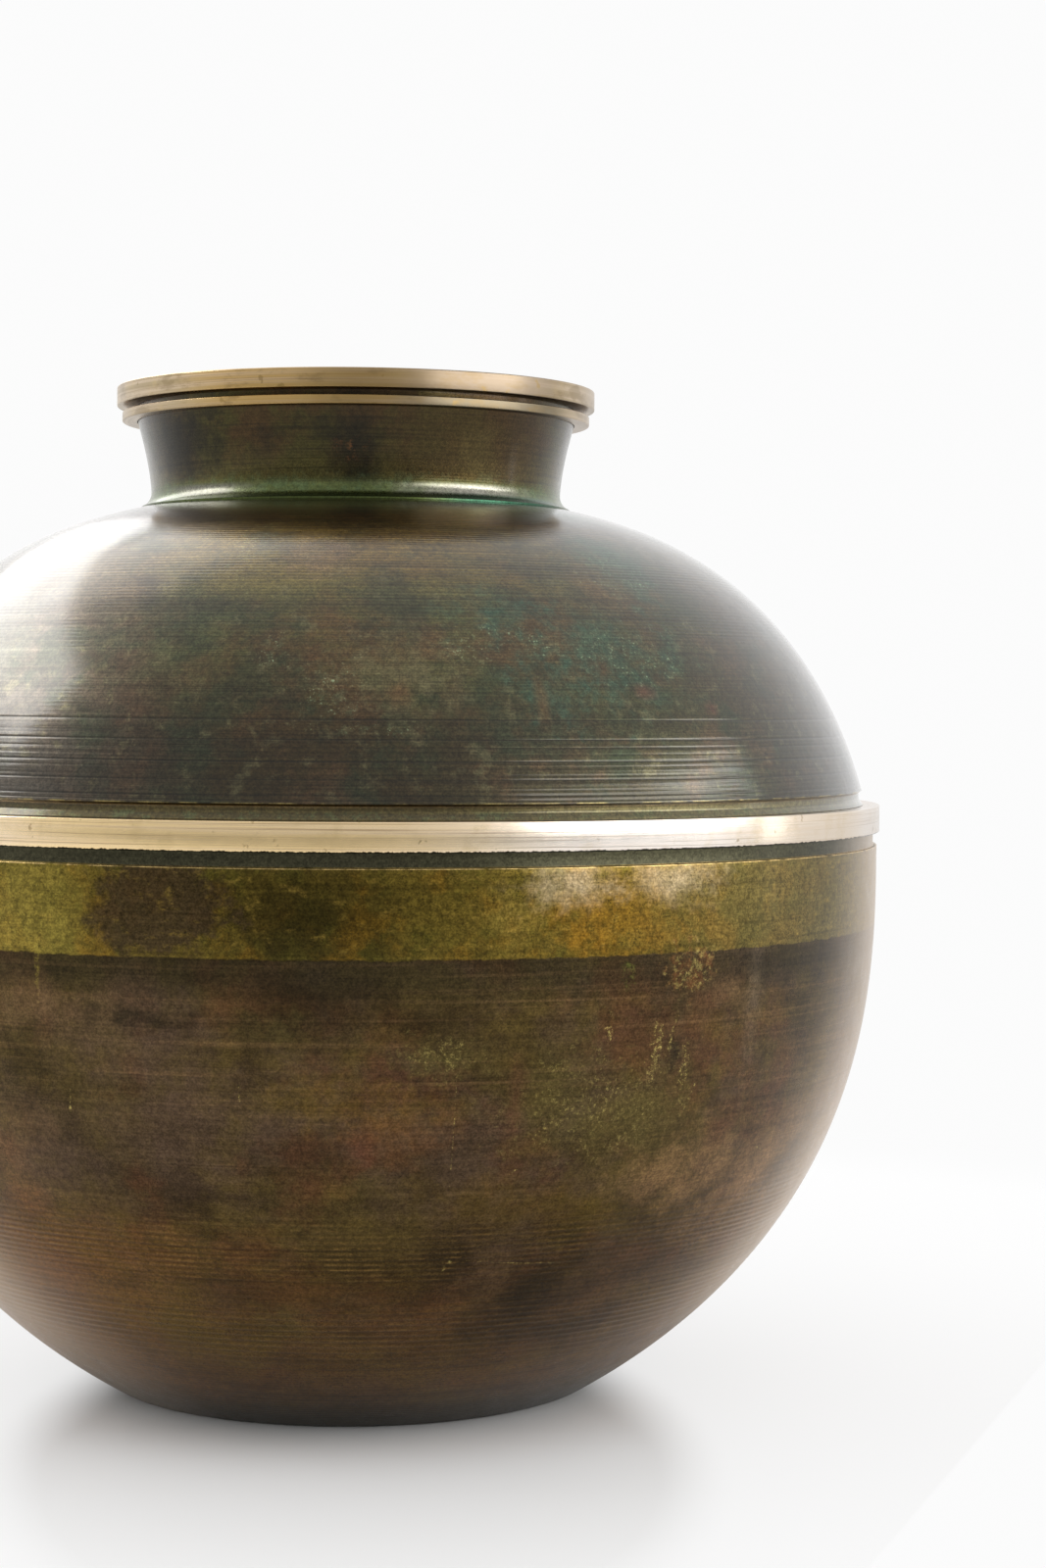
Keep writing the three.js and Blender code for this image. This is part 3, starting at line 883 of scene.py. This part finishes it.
def bowl_paint():
    paint = Paint("brown_patina", seed=20)
    rough, normal, lines = patina_surface(paint, 0.32, grain_depth=0.006, line_depth=0.008)
    paint.colour = paint.mix(paint.cloud(34, 0.4, 0.62, 0.9), BOWL_BROWN, BOWL_OLIVE)
    paint.lay(paint.cloud(26, 0.46, 0.62, 0.6, 1.4), BOWL_DARK)
    paint.lay(paint.cloud(22, 0.48, 0.66, 0.5), BOWL_RED)
    low = paint.ramp(66, 40)
    paint.lay(paint.ramp(62, 14), BOWL_WARM, 0.4)
    # Warmer and lighter low on the left: the bowl's warm tone with a painted sheen
    paint.lay(paint.both(paint.facing(-75, 30, 65), low), BOWL_WARM, 0.6)
    paint.lay(paint.both(paint.facing(90, 15, 45), paint.ramp(100, 60)), BOWL_TAN, 0.5)
    paint.lay(paint.cloud(9, 0.48, 0.68, 0.25, 2), BOWL_GOLD)
    paint.lay(paint.cloud(7, 0.46, 0.66, 0.35, 2), BOWL_DARK)
    upper = paint.ramp(66, 88)
    paint.lay(paint.step(paint.streaks(90, 1.5), 0.5, 0.72), BOWL_DARK, 0.35)
    paint.lay(paint.both(paint.step(paint.streaks(60, 1.2), 0.5, 0.72), upper), BOWL_TAN, 0.2)
    edge = paint.node("ShaderNodeLayerWeight", {"Blend": 0.5}).outputs["Facing"]
    # Placed patches, each an uneven cloud
    for angle, height, wide, tall, shade, amount in BOWL_PATCHES:
        grain = paint.coarse if tall > COARSE_PATCH else paint.medium
        cover = paint.patch(angle, height, wide, tall, ragged=1.5, soft=1.3, grain=grain)
        paint.lay(cover, shade, amount)
    # Golden flakes and scratches, a pale streak that is the painted reflection of the upright strip lamp,
    # and a dark line under the olive zone
    wide_cover = paint.patch(25, 78, 56, 38, ragged=1.8, soft=1.4)
    for cover in (wide_cover, paint.patch(8, 91, 24, 12, ragged=1.6)):
        paint.lay(paint.flaked(cover, 0.9, 0.52, 0.62), GOLD_FLAKE, 0.55)
    for angle, height, wide, tall, tilt in BOWL_SCRATCHES:
        cover = paint.patch(angle, height, wide, tall, tilt=tilt, ragged=2, soft=0.8, grain=paint.fine)
        paint.lay(paint.flaked(cover, 0.8, 0.5, 0.58), GOLD_FLAKE, 0.8)
    paint.lay(paint.patch(43.4, 104, 9, 66, ragged=0.7, soft=1.5), PAINTED_SHEEN, 0.12)
    drip = paint.flaked(paint.patch(-31.5, 112, 1.8, 26, grain=paint.fine), 2, 0.44)
    paint.lay(paint.level(109 * MM, 2 * MM, 7 * MM), BOWL_SHADE, 0.55)
    # Golden crests and dark grooves of the turned ridges low on the side
    ridged = paint.both(paint.ramp(70, 54), paint.ramp(4, 30))
    ridged = paint.both(ridged, paint.between(paint.step(paint.coarse, 0.38, 0.62), 0.1, 1))
    ridged = paint.both(ridged, paint.between(paint.facing(-35, 15, 75), 0.45, 1))
    crest = paint.both(paint.step(paint.rise, -0.045 * MM, -0.012 * MM), ridged)
    paint.lay(paint.both(crest, paint.step(paint.medium, 0.4, 0.62)), BOWL_CREST, 0.7)
    groove = paint.both(paint.step(paint.rise, -0.045 * MM, -0.075 * MM), ridged)
    paint.lay(paint.both(groove, paint.step(paint.fine, 0.35, 0.6)), BOWL_DARK, 0.7)
    # The olive zone, a drip from it and a spill under it
    lay_olive_zone(paint)
    paint.lay(drip, ZONE_YELLOW, 0.5)
    spill = paint.patch(34.1, 107.5, 15, 12, ragged=1.8, soft=0.3)
    paint.lay(paint.flaked(spill, 4, 0.4), RUST, 0.6)
    paint.lay(paint.flaked(spill, 1.5), GOLD_FLAKE, 0.45)
    paint.lay(paint.flaked(paint.patch(27.2, 106.5, 5.5, 10, ragged=1.8), 2), BOWL_GREEN, 0.8)
    # Worn edge under the cove, the cove under the band, dark from its patina and painted shade, and the
    # foot darkened towards the floor: green patina with a painted contact shadow
    broken = paint.step(paint.streaks(4, 8), 0.34, 0.54)
    worn = paint.both(paint.level(LOWER_COVE_LEVEL - 0.08 * MM, 0.1 * MM, 0.12 * MM), broken)
    paint.lay(worn, WORN_GOLD, 0.85)
    in_cove = paint.step(paint.height, LOWER_COVE_LEVEL + 0.05 * MM, LOWER_COVE_LEVEL + 0.25 * MM)
    paint.lay(in_cove, LOWER_COVE_GREY)
    paint.lay(paint.ramp(13, 2), FOOT_PATINA_AND_SHADE, 0.8)
    grain_over(paint, lines, grain=0.24, turned=0.15)
    # Painted sheen: paler metal where the side turns away from the eye, and more of it low on the left
    above_foot = paint.ramp(8, 34)
    paint.lay(paint.both(paint.step(edge, 0.56, 0.95), above_foot), PAINTED_SHEEN, 0.6)
    low_left = paint.both(paint.facing(-80, 20, 55), low)
    paint.lay(paint.both(low_left, paint.step(edge, 0.4, 0.8)), PAINTED_SHEEN, 0.4)
    paint.coat(normal, weight=0.12, roughness=0.16, ior=1.45)
    return paint.finish(rough, normal)


def neck_paint():
    paint = Paint("neck_patina", seed=40)
    rough, normal, lines = patina_surface(paint, 0.26, grain_depth=0.005, line_depth=0.012)
    paint.colour = paint.mix(paint.cloud(18, 0.42, 0.6, 0.8), NECK_BROWN, NECK_OLIVE)
    paint.lay(paint.cloud(9, 0.5, 0.64, 0.6), SOOT)
    paint.lay(paint.ramp(222, 212), NECK_LIGHT, 0.5)
    paint.lay_patches(NECK_PATCHES, ragged=0.8)
    paint.lay(paint.step(paint.streaks(40, 0.9), 0.5, 0.7), SOOT, 0.5)
    paint.lay(paint.flaked(paint.patch(-1, 219, 10, 9), 1.6), RUST, 0.6)
    # The greener foot, with painted highlights on its cove and green in the corner on the dome
    foot = paint.ramp(214, 210)
    paint.lay(foot, NECK_FOOT_GREEN, 0.75)
    paint.lay(paint.both(paint.facing(36, 8, 34), paint.ramp(211, 214)), NECK_BROWN, 0.6)
    paint.lay(paint.flaked(paint.ramp(216, 211), 5, 0.46), VERDIGRIS, 0.3)
    # Pale painted highlights on the cove, right and left, where the lamps are mirrored
    for angle, wide, shade in ((32, 46, NECK_PALE_HIGHLIGHT), (-46, 40, NECK_GREY_HIGHLIGHT)):
        place = paint.patch(angle, 211, wide, 30, ragged=0.5)
        paint.lay(paint.both(place, paint.level(210.4 * MM, 0.8 * MM, 1.2 * MM)), shade, 0.9)
    # Green patina and painted shade at the bottom of the neck, where it meets the dome
    paint.lay(paint.ramp(209.6, 208.9), NECK_PATINA_AND_SHADE, 0.8)
    paint.lay(paint.both(paint.ramp(210.2, 209), paint.facing(45, 8, 28)), NECK_TEAL, 0.85)
    rough = paint.sum("MULTIPLY_ADD", foot, 0.03, rough)
    grain_over(paint, lines, grain=0.18, turned=0.2)
    paint.coat(normal, weight=0.3, roughness=0.12, ior=1.45)
    return paint.finish(rough, normal)


def brass_paint(name, seed, front, side, roughness, dull=False):
    """Fine turned brass with small stains: one tone left of the middle, another towards the sides. These
    are painted light: golden where the dim side behind the camera is mirrored, paler where the bright
    surroundings are.
    """
    paint = Paint(name, seed)
    lines = paint.streaks(80, 0.26, detail=6, roughness=0.7)
    broad = paint.streaks(90, 1.4)
    paint.colour = paint.mix(paint.facing(-13, 8, 36), side, front)
    paint.lay(paint.step(broad, 0.45, 0.65), PINK_BRASS, 0.35)
    paint.lay(paint.cloud(9, 0.5, 0.7, 0.3), WARM_BRASS)
    paint.lay(paint.step(lines, 0.52, 0.64), BRASS_LINE, 0.55)
    paint.lay(paint.facing(95, 12, 44), BRASS_FAR, 0.6)
    if dull:
        low = paint.ramp(231.8, 231.2)
        paint.lay(paint.facing(12, 6, 30), LIP_DULL, 0.6)
        # Painted shade on the lip's right side, and more on the lower ring, where the right softbox is
        # mirrored
        paint.lay(paint.facing(34, 4, 28), LIP_ROSE, 0.9)
        paint.lay(paint.both(low, paint.facing(35, 12, 30)), LIP_LOW, 0.75)
        paint.lay(paint.cloud(4, 0.5, 0.62, 0.4, 3), LIP_DULL)
    else:
        # Painted shade on the band's right side, which dims the lamps' reflection there
        paint.lay(paint.facing(52, 6, 16), BAND_PAINTED_SHADE, 0.6)
    paint.lay(paint.step(paint.noise(1 / (3 * MM), detail=3), 0.66, 0.72), BRASS_SPOT, 0.5)
    # The dark, uneven line along the band's lower edge
    ragged = paint.sum("MULTIPLY_ADD", paint.sum("SUBTRACT", paint.fine, 0.5), 0.9 * MM, paint.height)
    lap = paint.both(paint.step(ragged, BAND_BOTTOM + 0.22 * MM, BAND_BOTTOM + 0.12 * MM),
                     paint.step(paint.height, BAND_BOTTOM - 1 * MM, BAND_BOTTOM - 0.5 * MM))
    paint.lay(lap, SOOT)
    rough = paint.sum("MULTIPLY_ADD", paint.sum("SUBTRACT", paint.medium, 0.5), 0.12, roughness)
    normal = paint.bump(lines, 0.008 * MM)
    normal = paint.bump(paint.fine, 0.003 * MM, normal)
    return paint.finish(rough, normal)


def dress(piece, node, material):
    piece.data.materials.append(material)
    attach(piece, "root")
    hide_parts(node)


BAND_BRASS = brass_paint("pale_brass", 60, GOLDEN_BRASS, PALE_BRASS, roughness=0.2)
LIP_BRASS = brass_paint("lip_brass", 70, LIP_FRONT, LIP_SIDE, roughness=0.3, dull=True)
dress(lower_bowl(), "lower_shell", bowl_paint())
dress(upper_dome(), "upper_shell", dome_paint())
dress(neck(), "neck_collar", neck_paint())
dress(ring("band", "equator_band", SPIGOT_RADIUS + GAP, BAND_EDGE), "equator_band", BAND_BRASS)
dress(ring("lip_lower", "lower_lip_ring", NECK_RIM_RADIUS + GAP, RING_EDGE),
      "lower_lip_ring", LIP_BRASS)
dress(lip_upper(), "upper_lip_ring", LIP_BRASS)


# Studio

FLOOR_HALF = 6.0
FLOOR_WHITE = tone(232, 232, 232)
FLOOR_ROUGH = 0.7

# The far front of the floor, which reflects darker
FRONT_DARK = tone(120, 120, 118)
FRONT_DARK_START = 0.5
FRONT_DARK_END = 1.1

# Where the floor has faded into the white background
BACKGROUND_WHITE = 0.97
WHITE_START = 0.17
WHITE_END = 0.42

# The lit pool on the right, which starts along a straight line
POOL_WAY = math.radians(-23)
POOL_EDGE = 0.153
POOL_SOFT = 4 * MM

# How far the shadow is lifted beside the foot, outside an oval drawn out forwards, and in front of it
SHADE_MIDDLE = -0.08
SHADE_STRETCH = 1.9
SHADE_START = 0.058
SHADE_END = 0.082
SIDE_LIFT = 0.75
FRONT_LIFT = 0.18
FRONT_LIFT_START = FOOT_RADIUS + 10 * MM
FRONT_LIFT_END = FOOT_RADIUS + 50 * MM


def floor():
    """A pale floor. To the camera it fades into the white background. Its far front reflects darker."""
    half = FLOOR_HALF
    corners = [(-half, -half, 0), (half, -half, 0), (half, half, 0), (-half, half, 0)]
    mesh = bpy.data.meshes.new("floor")
    mesh.from_pydata(corners, [], [(0, 1, 2, 3)])
    ground = add_object("floor", mesh)
    paint = Paint("floor", seed=80)
    paint.shader.inputs["Metallic"].default_value = 0
    paint.shader.inputs["Roughness"].default_value = FLOOR_ROUGH
    path = paint.node("ShaderNodeLightPath").outputs
    front = paint.step(paint.y, -FRONT_DARK_START, -FRONT_DARK_END)
    mirrored = paint.both(path["Is Glossy Ray"], front)
    paint.feed("Base Color", paint.mix(mirrored, FLOOR_WHITE, FRONT_DARK))
    reach = paint.vector("LENGTH", paint.place, output="Value")
    pool = paint.sum("ADD", paint.sum("MULTIPLY", paint.x, math.cos(POOL_WAY)),
                     paint.sum("MULTIPLY", paint.y, math.sin(POOL_WAY)))
    far = paint.step(reach, WHITE_START, WHITE_END)
    forward = paint.sum("DIVIDE", paint.sum("SUBTRACT", paint.y, SHADE_MIDDLE), SHADE_STRETCH)
    off = paint.sum("SQRT", paint.sum("ADD", paint.sum("POWER", paint.sum("ABSOLUTE", forward), 2.0),
                                      paint.sum("POWER", paint.sum("ABSOLUTE", paint.x), 2.0)))
    beside = paint.sum("MULTIPLY", paint.step(off, SHADE_START, SHADE_END), SIDE_LIFT)
    before = paint.sum("MULTIPLY", paint.step(reach, FRONT_LIFT_START, FRONT_LIFT_END), FRONT_LIFT)
    lit = paint.sum("MAXIMUM", far, paint.sum("MAXIMUM", beside, before))
    lit = paint.sum("MAXIMUM", lit, paint.step(pool, POOL_EDGE, POOL_EDGE + POOL_SOFT))
    back = paint.sum("MULTIPLY", path["Is Glossy Ray"], paint.sum("SUBTRACT", 1.0, front))
    shown = paint.sum("MAXIMUM", paint.both(path["Is Camera Ray"], lit), paint.both(back, far))
    white = paint.node("ShaderNodeEmission", {"Strength": BACKGROUND_WHITE}).outputs[0]
    surface = paint.node("ShaderNodeMixShader", {0: shown, 1: paint.shader.outputs[0], 2: white}).outputs[0]
    connect(paint.tree, paint.tree.nodes["Material Output"].inputs["Surface"], surface)
    mesh.materials.append(paint.material)


def area_lamp(name, place, target, size, brightness, fill=False):
    """A lamp that shows in the metal but lights nothing, or a fill that lights but doesn't show."""
    data = bpy.data.lights.new(name, "AREA")
    data.shape = "RECTANGLE"
    data.size, data.size_y = size
    data.energy = brightness * math.pi * size[0] * size[1]
    lamp = add_object(name, data)
    lamp.location = place
    lamp.rotation_euler = (Vector(target) - Vector(place)).to_track_quat("-Z", "Y").to_euler()
    lamp.visible_camera = False
    lamp.visible_glossy = not fill
    lamp.visible_diffuse = fill


# How strongly the surroundings light, and how bright they are when mirrored: dimmer behind the camera
SURROUND_LIGHT = 1.15
SURROUND_MIRRORED = 1.06
SURROUND_DIM = 0.68
DIM_WAY = Vector((-0.35, -0.86, 0.37))
DIM_START = 0.3
DIM_END = 0.95

# A row of upright panels back left, which grow dimmer towards the back
LEFT_PANEL = Vector((-1.322, 0.027, 1.17))
LEFT_PANEL_FACING = Vector((0.922, -0.387, 0))
LEFT_PANEL_ALONG = Vector((0.387, 0.922, 0))
LEFT_PANEL_WIDTH = 0.405
LEFT_PANEL_HEIGHT = 0.66
LEFT_PANELS = (6.8, 5.2, 3.8, 3.2, 2.8, 2.2)

# The other lamps: name, place, point that it faces, width and height, brightness, and whether it is a fill
LAMPS = (
    ("left_halo", (-0.54, 0.83, 1.49), (0, 0, 0.19), (0.92, 0.68), 1.3, False),
    ("left_fill", (-0.96, 0.77, 1.06), (0, 0, 0), (2.25, 0.71), 1.2, True),
    ("right_softbox", (1.08, -0.63, 0.43), (0, 0, 0.13), (1.14, 0.5), 4.0, False),
    ("right_fill", (1.25, -0.35, 0.50), (0, 0, 0.15), (0.9, 0.7), 2.4, True),
    ("right_strip", (1.28, 0.09, 0.22), (0, 0, 0.13), (0.08, 0.95), 2.5, False),
    ("right_bank", (1.23, -0.18, 0.64), (0, 0, 0.15), (0.54, 0.12), 5.0, False),
)


def studio():
    """White surroundings, darker behind the camera, and all the lamps."""
    world = bpy.data.worlds.new("studio")
    world.use_nodes = True
    tree = world.node_tree
    way = add_node(tree, "ShaderNodeTexCoord").outputs["Generated"]
    side = add_node(tree, "ShaderNodeVectorMath", {0: way, 1: DIM_WAY}, operation="DOT_PRODUCT")
    dim = add_node(tree, "ShaderNodeMapRange", {
        "Value": side.outputs["Value"], "From Min": DIM_START, "From Max": DIM_END,
        "To Min": SURROUND_MIRRORED, "To Max": SURROUND_DIM,
    }, interpolation_type="SMOOTHSTEP").outputs["Result"]
    path = add_node(tree, "ShaderNodeLightPath").outputs
    lit = add_node(tree, "ShaderNodeMix", {0: path["Is Glossy Ray"], 2: SURROUND_LIGHT, 3: dim}).outputs[0]
    seen = add_node(tree, "ShaderNodeMix", {0: path["Is Camera Ray"], 2: lit, 3: BACKGROUND_WHITE})
    background = tree.nodes["Background"].inputs
    connect(tree, background["Strength"], seen.outputs[0])
    background["Color"].default_value = (1, 1, 1, 1)
    bpy.context.scene.world = world
    for i, brightness in enumerate(LEFT_PANELS):
        place = LEFT_PANEL + i * LEFT_PANEL_WIDTH * LEFT_PANEL_ALONG
        area_lamp("left_softbox_%d" % (i + 1), place, place + LEFT_PANEL_FACING,
                  (LEFT_PANEL_WIDTH, LEFT_PANEL_HEIGHT), brightness)
    for lamp in LAMPS:
        area_lamp(*lamp)


def camera():
    data = bpy.data.cameras.new("camera")
    data.lens = CAMERA_LENS
    data.sensor_width = CAMERA_SENSOR
    view = add_object("camera", data)
    turn = (Matrix.Rotation(-CAMERA_YAW, 4, "Z") @ Matrix.Rotation(math.pi / 2 - CAMERA_PITCH, 4, "X")
            @ Matrix.Rotation(CAMERA_ROLL, 4, "Z"))
    view.matrix_world = Matrix.Translation((0, -CAMERA_DISTANCE, CAMERA_HEIGHT)) @ turn
    bpy.context.scene.camera = view


floor()
studio()
camera()
bpy.context.scene.view_settings.view_transform = "Standard"
